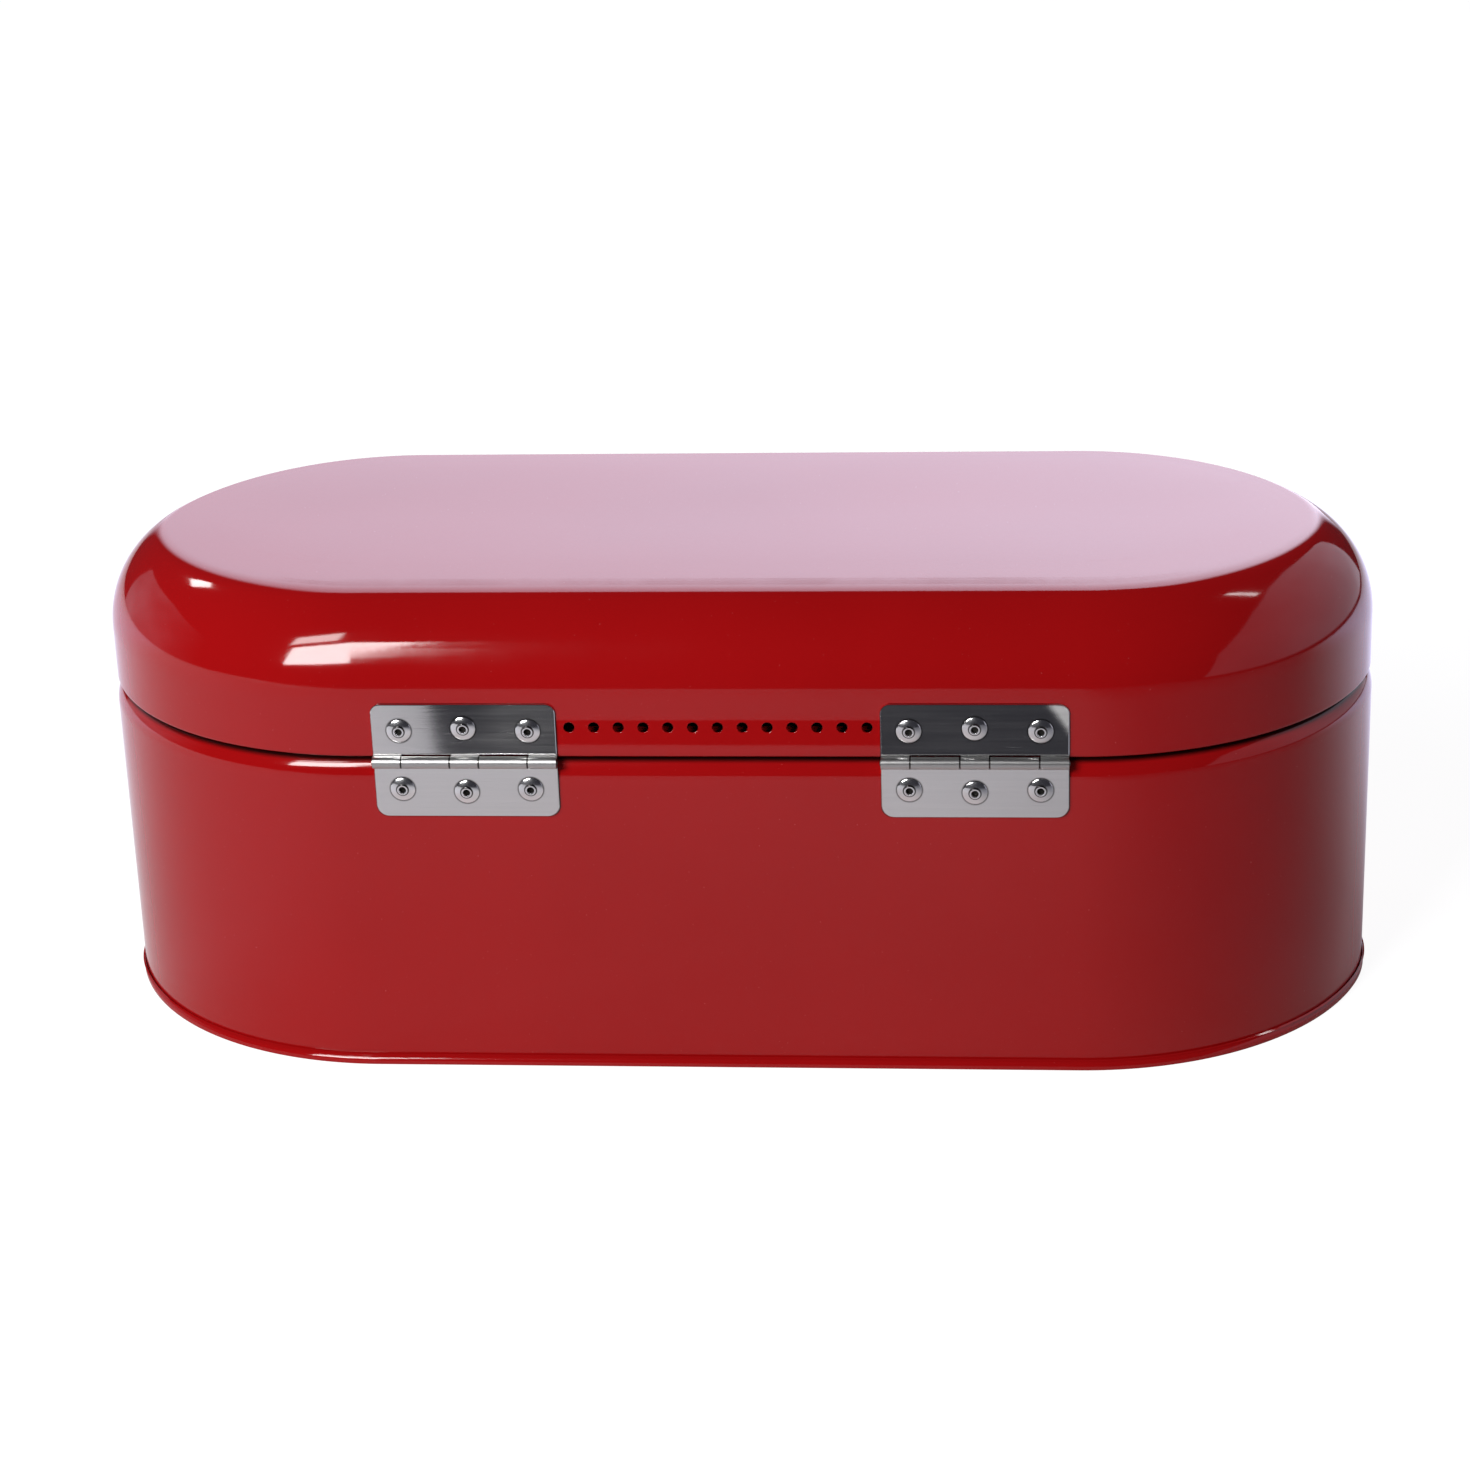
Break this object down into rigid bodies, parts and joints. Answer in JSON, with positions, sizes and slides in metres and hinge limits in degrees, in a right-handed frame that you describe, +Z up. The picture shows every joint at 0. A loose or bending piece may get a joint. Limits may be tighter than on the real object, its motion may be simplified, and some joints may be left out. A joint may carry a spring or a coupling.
{
  "type": "bread box",
  "caption": "Pressed-steel bread box with straight sides and rounded ends; its domed lid swings on riveted butt hinges, with vent holes between them.",
  "frame": {"origin": "middle of the footprint, on the surface the box stands on", "axes": "+Z up, -Y towards the front, +Y towards the hinges at the back, +X to the right as seen from the front"},
  "size_m": [0.435, 0.187, 0.166],
  "materials": {
    "red_enamel": "glossy red enamel on steel sheet",
    "hinge_steel": "brushed stainless steel",
    "pin_steel": "drawn steel wire",
    "rivet_aluminium": "polished aluminium",
    "stem_steel": "plated steel, broken end"
  },
  "bodies": {
    "base": {"base_wall": "red_enamel", "base_floor": "red_enamel", "left_hinge_base_leaf": "hinge_steel", "left_base_rivets": "rivet_aluminium", "left_base_rivet_stems": "stem_steel", "left_hinge_pin": "pin_steel", "right_hinge_base_leaf": "hinge_steel", "right_base_rivets": "rivet_aluminium", "right_base_rivet_stems": "stem_steel", "right_hinge_pin": "pin_steel"},
    "lid": {"lid_shell": "red_enamel", "left_hinge_lid_leaf": "hinge_steel", "left_lid_rivets": "rivet_aluminium", "left_lid_rivet_stems": "stem_steel", "right_hinge_lid_leaf": "hinge_steel", "right_lid_rivets": "rivet_aluminium", "right_lid_rivet_stems": "stem_steel"}
  },
  "joints": [
    {"name": "lid_hinge", "type": "hinge", "parent": "base", "child": "lid", "pos_m": [0, 0.09305, 0.1108], "axis": [-1, 0, 0], "range_deg": [0, 170]}
  ]
}
